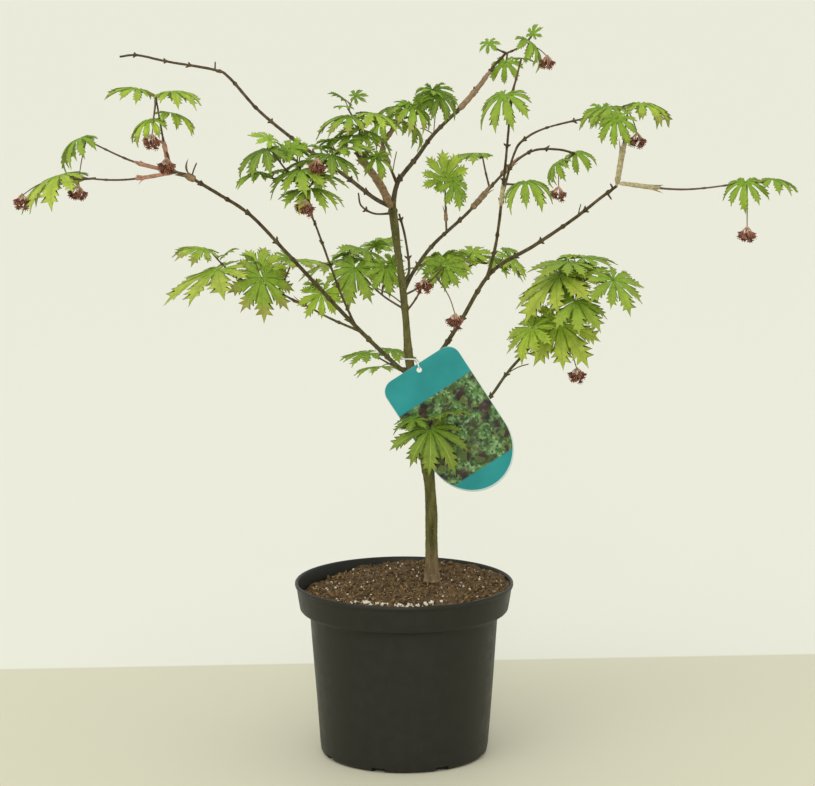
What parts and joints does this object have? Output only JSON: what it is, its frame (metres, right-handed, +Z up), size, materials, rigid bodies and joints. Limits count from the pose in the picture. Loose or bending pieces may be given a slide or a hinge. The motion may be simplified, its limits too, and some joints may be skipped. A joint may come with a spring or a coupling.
{
  "type": "potted full moon maple",
  "caption": "Young full moon maple in spring leaf with dark red blossom, an open spreading crown and a hanging plant label, in a black plastic nursery pot.",
  "frame": {"origin": "centre of the pot's flat underside", "axes": "+Z up the plant, +X to the right and -Y to the front, seen from the front"},
  "size_m": [0.7315, 0.4173, 0.7263],
  "materials": {
    "pot_plastic": "satin",
    "potting_mix": "matte",
    "trunk_bark": "matte",
    "bough_bark": "satin",
    "foliage": "satin",
    "label_plastic": "gloss",
    "tie_plastic": "satin"
  },
  "bodies": {
    "root": {"pot": "pot_plastic", "potting_mix": "potting_mix", "trunk": "trunk_bark", "bough_left": "bough_bark", "twig_front_left": "bough_bark", "twig_low_left": "bough_bark", "bough_bare": "bough_bark", "bough_top_right": "bough_bark", "shoot_top_left": "bough_bark", "shoot_top_middle": "bough_bark", "stem_second": "bough_bark", "bough_right_back": "bough_bark", "bough_right": "bough_bark", "shoot_right": "bough_bark", "twig_right": "bough_bark", "bough_low_right": "bough_bark", "twig_hooked": "bough_bark", "foliage_far_left": "foliage", "foliage_low_left": "foliage", "foliage_front_left": "foliage", "foliage_behind_left": "foliage", "foliage_low_behind": "foliage", "foliage_top_left": "foliage", "foliage_top_middle": "foliage", "foliage_top_right": "foliage", "foliage_front_right": "foliage", "foliage_inner_right": "foliage", "foliage_back_right": "foliage", "foliage_hanging_right": "foliage", "foliage_right_back": "foliage", "foliage_behind_right": "foliage", "foliage_far_right": "foliage", "foliage_mid_right": "foliage", "foliage_low_right": "foliage", "foliage_front_low": "foliage", "blossom_low": "foliage", "plant_label": "label_plastic", "label_tie": "tie_plastic"}
  },
  "joints": []
}
